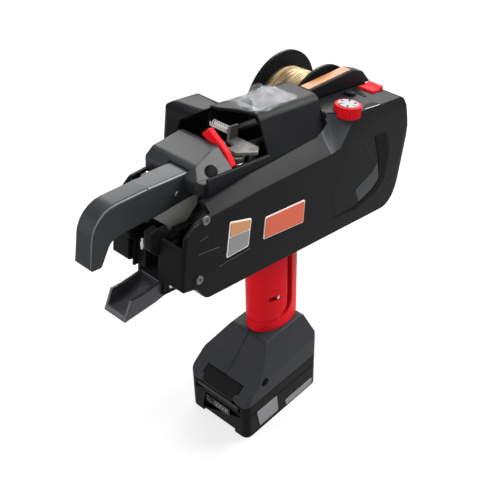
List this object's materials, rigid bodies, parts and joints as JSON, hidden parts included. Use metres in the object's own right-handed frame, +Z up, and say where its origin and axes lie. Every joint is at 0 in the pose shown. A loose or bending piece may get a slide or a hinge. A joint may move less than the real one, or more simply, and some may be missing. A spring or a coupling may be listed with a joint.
{
  "type": "rebar tying tool",
  "caption": "Battery tool that feeds wire from a side reel round crossing bars held in its curved jaw, twists it tight and cuts it, worked by a trigger in an upright grip.",
  "frame": {"origin": "centre of the battery's flat underside", "axes": "+X forward to the jaw, +Y to the left side, +Z up; the body is pitched nose-up by 10 degrees about Y"},
  "size_m": [0.3391, 0.1074, 0.3217],
  "materials": {
    "black_shell": "moulded, fine grain",
    "grey_plastic": "moulded, satin",
    "red_plastic": "moulded, satin",
    "bright_steel": "brushed",
    "dark_metal": "satin",
    "reel_plastic": "moulded",
    "tie_wire": "oiled annealed wire",
    "clear_plastic": "clear, slightly crumpled film over it",
    "pale_plate": "printed disc",
    "board": "solder mask"
  },
  "bodies": {
    "tool": {"left_body_shell": "black_shell", "right_body_shell": "black_shell", "hood": "black_shell", "front_boss": "grey_plastic", "reel_guard": "black_shell", "feed_motor_cover": "black_shell", "wire_arm": "black_shell", "curl_liner": "bright_steel", "arm_screws": "bright_steel", "nose_plates": "bright_steel", "front_cover": "black_shell", "guide_pin": "bright_steel", "body_screws": "bright_steel", "twist_motor": "dark_metal", "gearbox": "dark_metal", "fixed_cutter": "bright_steel", "feed_base": "dark_metal", "feed_motor": "dark_metal", "feed_spring": "bright_steel", "wire_inlet": "dark_metal", "reel_spindle": "dark_metal", "circuit_board": "board", "left_grip_shell": "red_plastic", "right_grip_shell": "red_plastic", "trigger_neck": "black_shell", "trigger_pin": "bright_steel", "trigger_switch": "black_shell", "left_foot_shell": "black_shell", "right_foot_shell": "black_shell", "foot_screws": "bright_steel", "terminal_block": "black_shell"},
    "lower_guide": {"lower_guide": "black_shell"},
    "left_contact": {"left_contact": "black_shell"},
    "right_contact": {"right_contact": "black_shell"},
    "twister": {"twist_shaft": "bright_steel"},
    "left_hook": {"left_hook": "bright_steel"},
    "right_hook": {"right_hook": "bright_steel"},
    "cutter": {"cutter_blade": "bright_steel"},
    "pinion": {"feed_pinion": "bright_steel"},
    "right_gear": {"right_feed_gear": "bright_steel"},
    "left_gear": {"left_feed_gear": "bright_steel"},
    "bracket": {"gear_bracket": "bright_steel"},
    "lever": {"release_lever": "red_plastic"},
    "window": {"clear_cover": "clear_plastic"},
    "reel": {"reel_hub": "reel_plastic", "left_flange": "reel_plastic", "right_flange": "reel_plastic", "wound_core": "tie_wire", "wound_wire": "tie_wire"},
    "stopper": {"reel_stopper": "red_plastic"},
    "dial": {"dial": "red_plastic", "dial_cap": "pale_plate"},
    "rocker": {"rocker_switch": "red_plastic"},
    "button": {"push_button": "black_shell"},
    "trigger": {"trigger": "red_plastic"},
    "battery": {"lower_case": "black_shell", "upper_case": "black_shell", "gauge_panel": "grey_plastic"},
    "latch": {"battery_latch": "grey_plastic"},
    "gauge_button": {"gauge_button": "grey_plastic"}
  },
  "joints": [
    {"name": "lower_guide_swing", "type": "hinge", "parent": "tool", "child": "lower_guide", "pos_m": [0.1062, 0, 0.2163], "axis": [0, 1, 0], "range_deg": [-6, 30]},
    {"name": "left_contact_press", "type": "slide", "parent": "tool", "child": "left_contact", "axis": [-0.9848, 0, -0.1736], "range_m": [0, 0.004], "stiffness_N_per_m": 300},
    {"name": "right_contact_press", "type": "slide", "parent": "tool", "child": "right_contact", "axis": [-0.9848, 0, -0.1736], "range_m": [0, 0.004], "stiffness_N_per_m": 300},
    {"name": "twister_spin", "type": "hinge", "parent": "tool", "child": "twister", "pos_m": [0.05053, 0, 0.24406], "axis": [0.9848, 0, 0.1736], "continuous": true},
    {"name": "left_hook_open", "type": "hinge", "parent": "twister", "child": "left_hook", "pos_m": [0.09781, 0.0026, 0.25239], "axis": [-0.1736, 0, 0.9848], "range_deg": [0, 6]},
    {"name": "right_hook_open", "type": "hinge", "parent": "twister", "child": "right_hook", "pos_m": [0.09781, -0.0026, 0.25239], "axis": [-0.1736, 0, 0.9848], "range_deg": [-6, 0]},
    {"name": "cutter_turn", "type": "hinge", "parent": "tool", "child": "cutter", "pos_m": [0.06346, 0, 0.28594], "axis": [0, 1, 0], "range_deg": [-12, 12]},
    {"name": "right_gear_spin", "type": "hinge", "parent": "tool", "child": "right_gear", "pos_m": [0.02812, -0.0088, 0.28478], "axis": [-0.1736, 0, 0.9848], "continuous": true},
    {"name": "pinion_spin", "type": "hinge", "parent": "tool", "child": "pinion", "pos_m": [0.02192, -0.04, 0.27963], "axis": [-0.1736, 0, 0.9848], "continuous": true},
    {"name": "left_gear_spin", "type": "hinge", "parent": "bracket", "child": "left_gear", "pos_m": [0.02812, 0.0088, 0.28478], "axis": [-0.1736, 0, 0.9848], "continuous": true},
    {"name": "lever_press", "type": "hinge", "parent": "tool", "child": "lever", "pos_m": [0.03699, 0.0035, 0.30361], "axis": [0.9848, 0, 0.1736], "range_deg": [-10, 0], "stiffness_Nm_per_rad": 0.05},
    {"name": "bracket_swing", "type": "hinge", "parent": "tool", "child": "bracket", "pos_m": [0.01538, 0.017, 0.29371], "axis": [-0.1736, 0, 0.9848], "range_deg": [0, 5], "deforming": ["feed_spring"]},
    {"name": "window_lift", "type": "hinge", "parent": "tool", "child": "window", "pos_m": [-0.02997, -0.0446, 0.29749], "axis": [0.9848, 0, 0.1736], "range_deg": [0, 100]},
    {"name": "reel_spin", "type": "hinge", "parent": "tool", "child": "reel", "pos_m": [-0.10089, -0.03, 0.26204], "axis": [0, 1, 0], "continuous": true},
    {"name": "stopper_turn", "type": "hinge", "parent": "tool", "child": "stopper", "pos_m": [-0.10089, -0.0608, 0.26204], "axis": [0.9848, 0, 0.1736], "range_deg": [0, 90]},
    {"name": "dial_turn", "type": "hinge", "parent": "tool", "child": "dial", "pos_m": [-0.08605, 0.031, 0.29308], "axis": [-0.1736, 0, 0.9848], "range_deg": [-135, 135]},
    {"name": "rocker_tilt", "type": "hinge", "parent": "tool", "child": "rocker", "pos_m": [-0.14256, 0.013, 0.27957], "axis": [0, 1, 0], "range_deg": [-6, 6]},
    {"name": "button_press", "type": "slide", "parent": "tool", "child": "button", "axis": [0.1736, 0, -0.9848], "range_m": [0, 0.0012], "stiffness_N_per_m": 400},
    {"name": "trigger_pull", "type": "slide", "parent": "tool", "child": "trigger", "axis": [-1, 0, 0], "range_m": [0, 0.0065], "stiffness_N_per_m": 600},
    {"name": "battery_slide", "type": "slide", "parent": "tool", "child": "battery", "axis": [1, 0, 0], "range_m": [0, 0.07]},
    {"name": "latch_press", "type": "slide", "parent": "battery", "child": "latch", "axis": [-1, 0, 0], "range_m": [0, 0.0025], "stiffness_N_per_m": 500},
    {"name": "gauge_press", "type": "slide", "parent": "battery", "child": "gauge_button", "axis": [-1, 0, 0], "range_m": [0, 0.0009], "stiffness_N_per_m": 300}
  ],
  "couplings": [
    {"joint": "right_contact_press", "follows": "left_contact_press", "ratio": 1},
    {"joint": "right_hook_open", "follows": "left_hook_open", "ratio": -1},
    {"joint": "pinion_spin", "follows": "right_gear_spin", "ratio": -1.44},
    {"joint": "left_gear_spin", "follows": "right_gear_spin", "ratio": -1},
    {"joint": "bracket_swing", "follows": "lever_press", "ratio": -0.5}
  ]
}
